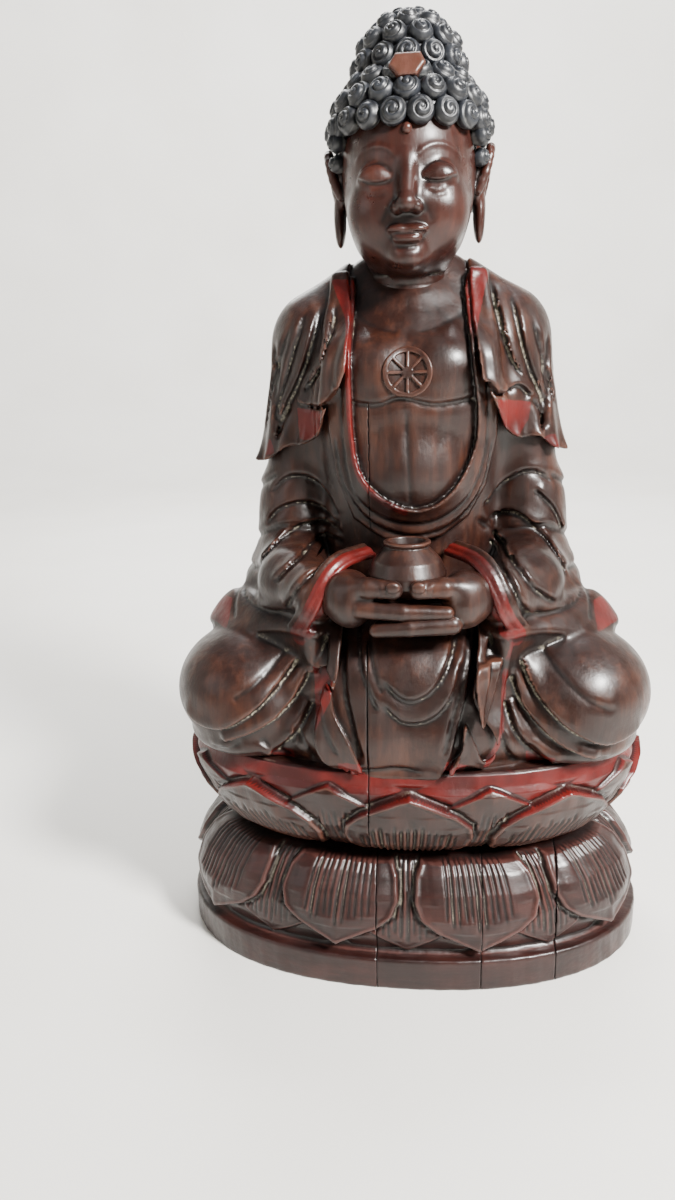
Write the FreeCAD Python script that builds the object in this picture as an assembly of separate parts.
"""Seated Buddha on a double lotus base, carved from joined blocks of wood.

Frame: +Z up, the figure looks along -Y, the origin is under the middle of the base.
Millimetres. "right" and "left" are the figure's own, so right is at -X.

The base is four boards glued edge to edge. The figure and its lotus seat are a second
glue-up, which stands on the base on one wooden peg and lifts off it.
"""

import FreeCAD
import Part
import math
import os

V = FreeCAD.Vector

# ---- driving dimensions -------------------------------------------------------------
BASE_A, BASE_B = 164.0, 106.0          # half width and half depth of the plinth
OUTLINE_POWER = 2.25                   # 2 is an ellipse, more is squarer
PLINTH_H = 22.0
BASE_TOP = 84.0                        # where the lotus seat rests on the base
RIM_Z = 138.0                          # tops of the seat's outer petals
SEAT_TOP = 150.0                       # where the figure sits
LAP_TOP = 232.0
COLLAR_Z = 438.0                       # where the neck leaves the robe
CURL_R = 7.6
JEWEL_R, JEWEL_PLACE = 6.5, V(0, -41, 556)
WHEEL_Z, WHEEL_R, WHEEL_RELIEF = 392.0, 15.0, 1.8

BASE_SEAMS = (-20.0, 48.0, 97.0)       # glue lines of the base boards, along X
FIGURE_SEAM = -24.0                    # glue line of the seat, lap and torso boards
KNEE_SEAM = 64.0                       # the knee blocks are glued on at +-X

PEG_R, PEG_BOTTOM, PEG_TOP = 14.0, 56.0, 108.0
PEG_CLEARANCE = 0.3
SOCKET_SPARE = 3.0                     # the peg doesn't reach the socket's bottom
DOWEL_R = 4.0

PETAL_RELIEF = 3.0
LOWER_PETALS, UPPER_PETALS = 9, 8

# half width, half depth and height of each section
LOWER_TIER = [(22, 156, 98), (34, 160, 102), (50, 158, 101), (66, 151, 95), (77, 143, 88), (84, 134, 80)]
UPPER_TIER = [(84, 116, 68), (90, 129, 80), (99, 140, 90), (112, 150, 97), (126, 156, 100), (138, 158, 101)]
RIM_BAND = [(138, 156, 99), (150, 149, 95)]
# height, half width, half depth and middle along Y
LAP_CORE = [(150, 96, 92, -2), (185, 98, 94, -2), (215, 92, 86, -2), (232, 80, 70, 4)]
TORSO = [(232, 74, 64, 14), (262, 66, 58, 10), (300, 62, 55, 6), (345, 66, 56, 2), (385, 70, 56, 0),
         (415, 64, 48, 4), (430, 52, 38, 6), (438, 44, 32, 4)]
# middle and radii of the balls that the hair is made of
HAIR_CAP, HAIR_CROWN = ((0, 0, 530), (46, 52, 40)), ((0, 3, 564), (31, 33, 31))
HAIR_NAPE = ((0, 14, 505), (41, 38, 38))
# tilt in degrees, number and half-step start of the curls in each ring of each ball
CURL_RINGS = [
    (HAIR_CAP, 8, 19, 0.0), (HAIR_CAP, 26, 16, 0.5), (HAIR_CAP, 42, 12, 0.0),
    (HAIR_CROWN, 14, 12, 0.5), (HAIR_CROWN, 36, 9, 0.0), (HAIR_CROWN, 60, 6, 0.5), (HAIR_CROWN, 89, 1, 0.0),
    (HAIR_NAPE, 0, 16, 0.5), (HAIR_NAPE, -22, 14, 0.0),
]


# ---- shapes -------------------------------------------------------------------------
def outline(a, b, z, middle_y=0.0, power=OUTLINE_POWER, count=28):
    """A closed smooth superellipse at height z."""
    points = []
    for i in range(count):
        t = 2 * math.pi * i / count
        c, s = math.cos(t), math.sin(t)
        x = a * math.copysign(abs(c) ** (2 / power), c)
        y = b * math.copysign(abs(s) ** (2 / power), s)
        points.append(V(x, middle_y + y, z))
    curve = Part.BSplineCurve()
    curve.interpolate(points, PeriodicFlag=True)
    return Part.Wire([curve.toShape()])


def tier(sections, grow=0.0):
    """A loft through (height, half width, half depth) sections, grown outwards."""
    return Part.makeLoft([outline(a + grow, b + grow, z) for z, a, b in sections], True, False)


def column(sections, grow=0.0):
    """A loft through (height, half width, half depth, middle y) sections, grown outwards."""
    return Part.makeLoft([outline(a + grow, b + grow, z, y, 2.0) for z, a, b, y in sections], True, False)


def ellipsoid(centre, radii):
    ball = Part.makeSphere(1.0)
    m = FreeCAD.Matrix()
    m.scale(*radii)
    m.move(V(*centre))
    return ball.transformGeometry(m)


def limb(start, end, r_start, r_end):
    """A round tapered limb with ball ends, turned as one solid."""
    p, q = V(*start), V(*end)
    length = (q - p).Length
    lean = math.asin((r_start - r_end) / length)

    def at(radius, height, angle):
        return V(radius * math.cos(angle), 0, height + radius * math.sin(angle))

    low, high = at(r_start, 0, lean), at(r_end, length, lean)
    foot, tip = V(0, 0, -r_start), V(0, 0, length + r_end)
    profile = [
        Part.Arc(foot, at(r_start, 0, (lean - math.pi / 2) / 2), low).toShape(),
        Part.LineSegment(low, high).toShape(),
        Part.Arc(high, at(r_end, length, (lean + math.pi / 2) / 2), tip).toShape(),
        Part.LineSegment(tip, foot).toShape(),
    ]
    turned = Part.Face(Part.Wire(profile)).revolve(V(0, 0, 0), V(0, 0, 1), 360)
    turned.Placement = FreeCAD.Placement(p, FreeCAD.Rotation(V(0, 0, 1), q - p))
    return turned


def rod(start, end, radius):
    p, q = V(*start), V(*end)
    return Part.makeCylinder(radius, (q - p).Length, p, q - p)


def block(x0, x1, y0, y1, z0, z1):
    return Part.makeBox(x1 - x0, y1 - y0, z1 - z0, V(x0, y0, z0))


def mirrored(shape):
    return shape.mirror(V(0, 0, 0), V(1, 0, 0))


def boards(shape, seams):
    """The shape cut into boards at planes across X, from right to left of the figure."""
    edges = [-400.0, *seams, 400.0]
    return [shape.common(block(lo, hi, -400, 400, -10, 700)) for lo, hi in zip(edges, edges[1:])]


def around(a, b, share):
    """Point and outward normal at a share of the ellipse's length, from the front middle."""
    steps = 720
    turns = [2 * math.pi * i / steps for i in range(steps + 1)]
    points = [(a * math.sin(t), -b * math.cos(t)) for t in turns]
    lengths = [0.0]
    for p, q in zip(points, points[1:]):
        lengths.append(lengths[-1] + math.dist(p, q))
    wanted = (share % 1.0) * lengths[-1]
    i = min(range(steps), key=lambda k: abs(lengths[k] - wanted))
    x, y = points[i]
    normal = V(x / a ** 2, y / b ** 2, 0)
    normal.normalize()
    return V(x, y, 0), normal


def petal_prism(a, b, share, width, root_z, tip_z):
    """A pointed petal outline, standing across the outward normal and run inwards."""
    point, normal = around(a, b, share)
    side = V(-normal.y, normal.x, 0)
    outer = point + normal * 12

    def at(s, z):
        return outer + side * s + V(0, 0, z)

    half = width / 2
    belly_z = root_z + (tip_z - root_z) * 0.35
    shoulder_z = root_z + (tip_z - root_z) * 0.8
    left = Part.Arc(at(-half * 0.8, root_z), at(-half, belly_z), at(-half * 0.62, shoulder_z)).toShape()
    left_tip = Part.LineSegment(at(-half * 0.62, shoulder_z), at(0, tip_z)).toShape()
    right_tip = Part.LineSegment(at(0, tip_z), at(half * 0.62, shoulder_z)).toShape()
    right = Part.Arc(at(half * 0.62, shoulder_z), at(half, belly_z), at(half * 0.8, root_z)).toShape()
    foot = Part.LineSegment(at(half * 0.8, root_z), at(-half * 0.8, root_z)).toShape()
    return Part.Face(Part.Wire([left, left_tip, right_tip, right, foot])).extrude(normal * -40)


def petals(sections, count, first_share, width, root_z, tip_z, relief):
    """Petals that stand proud of a tier by their relief."""
    skin = tier(sections, relief)
    a, b = sections[2][1], sections[2][2]
    found = []
    for i in range(count):
        prism = petal_prism(a, b, first_share + i / count, width, root_z, tip_z)
        found.append(skin.common(prism))
    return found


# ---- base ---------------------------------------------------------------------------
def peg():
    return rod((0, 0, PEG_BOTTOM), (0, 0, PEG_TOP), PEG_R)


def base_dowels():
    """Hidden dowels that line up the base boards, two across each seam."""
    return [rod((seam - 20, y, 44), (seam + 20, y, 44), DOWEL_R) for seam in BASE_SEAMS for y in (-48, 48)]


def base_boards():
    plinth = Part.Face(outline(BASE_A, BASE_B, 0)).extrude(V(0, 0, PLINTH_H))
    body = plinth.fuse(tier(LOWER_TIER))
    front = petals(LOWER_TIER, LOWER_PETALS, 0.5 / LOWER_PETALS, 76, 86, 27, PETAL_RELIEF)
    behind = petals(LOWER_TIER, LOWER_PETALS, 0.0, 60, 70, 24, PETAL_RELIEF / 2)
    body = body.fuse(front + behind)
    socket = rod((0, 0, PEG_BOTTOM - SOCKET_SPARE), (0, 0, BASE_TOP + 5), PEG_R + PEG_CLEARANCE)
    body = body.cut(block(-200, 200, -200, 200, BASE_TOP, BASE_TOP + 50))
    body = body.cut([socket, *base_dowels()])
    return boards(body, BASE_SEAMS)


# ---- lotus seat ---------------------------------------------------------------------
def seat_dowels():
    return [rod((FIGURE_SEAM - 20, y, 118), (FIGURE_SEAM + 20, y, 118), DOWEL_R) for y in (-52, 52)]


def seat_boards():
    body = tier(UPPER_TIER).fuse(tier(RIM_BAND))
    front = petals(UPPER_TIER, UPPER_PETALS, 0.0, 84, 88, RIM_Z, PETAL_RELIEF)
    behind = petals(UPPER_TIER, UPPER_PETALS, 0.5 / UPPER_PETALS, 62, 96, RIM_Z, PETAL_RELIEF / 2)
    body = body.fuse(front + behind)
    body = body.cut(block(-200, 200, -200, 200, BASE_TOP - 20, BASE_TOP))
    body = body.cut([peg(), *seat_dowels()])
    return boards(body, [FIGURE_SEAM])


# ---- figure -------------------------------------------------------------------------
def lap_core():
    """The middle of the lap, between the two knee blocks."""
    return column(LAP_CORE).common(block(-KNEE_SEAM, KNEE_SEAM, -200, 200, SEAT_TOP, LAP_TOP))


def knee():
    """The figure's left knee and thigh, outside the lap boards."""
    bend = ellipsoid((98, -34, 190), (56, 60, 44))
    thigh = ellipsoid((66, 22, 188), (66, 66, 42))
    both = bend.fuse(thigh)
    return both.common(block(KNEE_SEAM, 200, -103, 103, SEAT_TOP, 300))


def upper_arm():
    """The figure's left upper arm under the robe, with the robe's flared lower edge."""
    shoulder = limb((62, 2, 404), (84, 8, 300), 30, 25)
    flare = limb((84, 6, 352), (97, 2, 336), 16, 10)
    return shoulder.fuse(flare)


def forearm():
    """The figure's left forearm in its sleeve, from the elbow to the cuff."""
    sleeve = limb((84, 8, 276), (58, -64, 264), 26, 20)
    hang = ellipsoid((98, -14, 244), (30, 34, 22))
    return sleeve.fuse(hang)


def hand(side, palm_z, finger_z):
    """The figure's right (-1) or left (+1) hand: palm, four fingers and the thumb."""
    palm = limb((side * 44, -70, palm_z), (side * 30, -78, palm_z), 12.6, 12.5)
    fingers = []
    for i in range(4):
        knuckle, tip = (side * 30, -94 + 8.6 * i, finger_z + 1), (side * -22, -96 + 8.6 * i, finger_z)
        fingers.append(limb(knuckle, tip, 5.4, 4.9))
    thumb = limb((side * 38, -86, 270), (side * 6.5, -99, 272), 6.0, 5.0)
    return palm.fuse([*fingers, thumb])


def jar():
    """A round-shouldered alms jar with a shallow mouth, held above the palms."""
    profile = [(0, 262), (15, 262), (23, 271), (22, 279), (13.5, 291),
               (14.5, 294), (11, 294), (9, 291), (0, 291)]
    wire = Part.makePolygon([V(x, 0, z) for x, z in profile + profile[:1]])
    turned = Part.Face(wire).revolve(V(0, 0, 0), V(0, 0, 1), 360)
    turned.translate(V(0, -74, 0))
    return turned


def head():
    """Skull, face, long ears and neck, with the round tenon that enters the torso."""
    skull = ellipsoid((0, -6, 510), (40, 50, 50))
    face = ellipsoid((0, -14, 488), (37, 42, 38))
    nose = Part.makeCone(7, 3, 24, V(0, -57, 482), V(0, 0.12, 1))
    neck = limb((0, 2, 436), (0, -2, 470), 27, 24).common(block(-60, 60, -60, 60, COLLAR_Z, 480))
    tenon = rod((0, 4, COLLAR_Z - 32), (0, 4, COLLAR_Z + 6), 17)
    ears = []
    for side in (-1, 1):
        shell = ellipsoid((side * 43, 2, 510), (6, 10, 15))
        lobe = limb((side * 43, 0, 500), (side * 38, -2, 474), 5.5, 4.5)
        ears.append(shell.fuse(lobe))
    return skull.fuse([face, nose, neck, tenon, *ears])


def hair_cap(head_shape):
    """The hair under the curls: a cap with the crown bump, outside the head block."""
    cap, crown, nape = ellipsoid(*HAIR_CAP), ellipsoid(*HAIR_CROWN), ellipsoid(*HAIR_NAPE)
    face_gap = block(-70, 70, -90, -10, 440, 533)
    ear_gap = block(-70, 70, -20, 14, 440, 524)
    return cap.fuse([crown, nape]).cut([face_gap, ear_gap, head_shape])


def curl_places():
    """Middle and outward direction of each curl, ring by ring, none nearer than two radii."""
    kept = []
    for (centre, radii), tilt, count, start in CURL_RINGS:
        for i in range(count):
            e, t = math.radians(tilt), 2 * math.pi * (i + start) / count - math.pi / 2
            unit = V(math.cos(e) * math.cos(t), math.cos(e) * math.sin(t), math.sin(e))
            place = V(*(c + r * u for c, r, u in zip(centre, radii, unit)))
            in_front = (centre, radii) == HAIR_NAPE and place.y < 24
            crowded = any((place - other).Length < 2 * CURL_R + 0.2 for other, _ in kept)
            on_jewel = (place - JEWEL_PLACE).Length < CURL_R + 2 * JEWEL_R
            if in_front or crowded or on_jewel:
                continue
            out = V(*(u / r for u, r in zip(unit, radii)))
            out.normalize()
            kept.append((place, out))
    return kept


def curls(hair, head_shape):
    """Snail curls as low domes that stand on the hair cap, apart from each other."""
    return [Part.makeSphere(CURL_R, place + out * 0.5, out).cut([hair, head_shape])
            for place, out in curl_places()]


def hair_jewel():
    """A bead of lacquer, wider than it is high, half sunk in the hair above the brow."""
    side = V(JEWEL_R * 0.75, 0, 0)
    return limb(JEWEL_PLACE - side, JEWEL_PLACE + side, JEWEL_R + 0.1, JEWEL_R)


def urna():
    return Part.makeSphere(3.0, V(0, -56, 524))


def chest_wheel():
    """A wheel with eight spokes, carved in even low relief over the chest."""
    def disc(radius):
        return Part.makeCylinder(radius, 40, V(0, -80, WHEEL_Z), V(0, 1, 0))

    pattern = disc(WHEEL_R).cut(disc(WHEEL_R - 3.5)).fuse(disc(3.5))
    for i in range(4):
        bar = block(1 - WHEEL_R, WHEEL_R - 1, -80, -40, -1.2, 1.2)
        bar.rotate(V(0, 0, 0), V(0, 1, 0), 45 * i)
        bar.translate(V(0, 0, WHEEL_Z))
        pattern = pattern.fuse(bar)
    return column(TORSO, WHEEL_RELIEF).common(pattern)


def arm_dowels():
    """Dowels between the torso and the arm blocks, two a side."""
    return [rod((side * 46, 4, z), (side * 76, 4, z), DOWEL_R) for side in (-1, 1) for z in (395, 330)]


def wrist_dowels():
    return [rod((side * 34, -76, 262), (side * 62, -60, 264), DOWEL_R) for side in (-1, 1)]


def torso_dowels():
    """Upright dowels that tie the torso boards to the lap boards."""
    return [rod((x, 12, LAP_TOP - 24), (x, 12, LAP_TOP + 24), DOWEL_R) for x in (-42, 18)]


def figure():
    """Every block of the figure, each cut back to its neighbours' faces."""
    lap = lap_core()
    torso = column(TORSO)
    knee_left = knee().cut(torso)
    knee_right = mirrored(knee()).cut(torso)
    head_block = head()
    torso = torso.cut(head_block)

    arm_left, arm_right = upper_arm(), mirrored(upper_arm())
    sleeve_left, sleeve_right = forearm(), mirrored(forearm())
    arm_left, arm_right = arm_left.cut(torso), arm_right.cut(torso)
    sleeve_left = sleeve_left.cut([torso, arm_left, knee_left, lap])
    sleeve_right = sleeve_right.cut([torso, arm_right, knee_right, lap])

    bowl = jar().cut(torso)
    upper = hand(-1, 262, 256).cut([bowl, sleeve_right, torso, lap])
    lower = hand(1, 259, 246).cut([bowl, sleeve_left, torso, lap, upper])

    hair = hair_cap(head_block)
    domes = curls(hair, head_block)
    jewel = hair_jewel().cut(hair)
    bead = urna().cut(head_block)
    wheel = chest_wheel().cut(torso)

    lap_pins, arm_pins, wrist_pins = torso_dowels(), arm_dowels(), wrist_dowels()
    torso = torso.cut([*lap_pins, *arm_pins])
    lap = lap.cut(lap_pins)
    arm_left, arm_right = arm_left.cut(arm_pins), arm_right.cut(arm_pins)
    sleeve_left, sleeve_right = sleeve_left.cut(wrist_pins), sleeve_right.cut(wrist_pins)
    upper, lower = upper.cut(wrist_pins), lower.cut(wrist_pins)

    lap_right, lap_left = boards(lap, [FIGURE_SEAM])
    torso_right, torso_left = boards(torso, [FIGURE_SEAM])
    return {
        "lap_board_right": lap_right, "lap_board_left": lap_left,
        "knee_right": knee_right, "knee_left": knee_left,
        "torso_board_right": torso_right, "torso_board_left": torso_left,
        "upper_arm_right": arm_right, "upper_arm_left": arm_left,
        "sleeve_right": sleeve_right, "sleeve_left": sleeve_left,
        "hand_right": upper, "hand_left": lower,
        "alms_jar": bowl, "head": head_block, "hair_cap": hair,
        "hair_curls": domes, "hair_jewel": jewel, "forehead_bead": bead,
        "chest_wheel": wheel, "torso_dowels": lap_pins,
        "arm_dowels": arm_pins, "wrist_dowels": wrist_pins,
    }


def kept_solids(shape):
    """The solids of a group's members, or a carved block's one solid without its offcuts."""
    members = shape if isinstance(shape, list) else [shape]
    return [max(member.Solids, key=lambda solid: solid.Volume) for member in members]


def main():
    os.makedirs("parts", exist_ok=True)
    nodes = {f"base_board_{i + 1}": b for i, b in enumerate(base_boards())}
    nodes["base_dowels"] = base_dowels()
    right, left = seat_boards()
    nodes["seat_board_right"], nodes["seat_board_left"] = right, left
    nodes["seat_dowels"] = seat_dowels()
    nodes["seat_peg"] = peg()
    nodes.update(figure())
    for name, shape in nodes.items():
        solids = kept_solids(shape)
        made = solids[0] if len(solids) == 1 else Part.makeCompound(solids)
        print(f"{name:20s} {len(solids):3d} solids {made.Volume / 1000:9.1f} cm3 valid {made.isValid()}")
        made.exportStep(f"parts/{name}.step")


main()
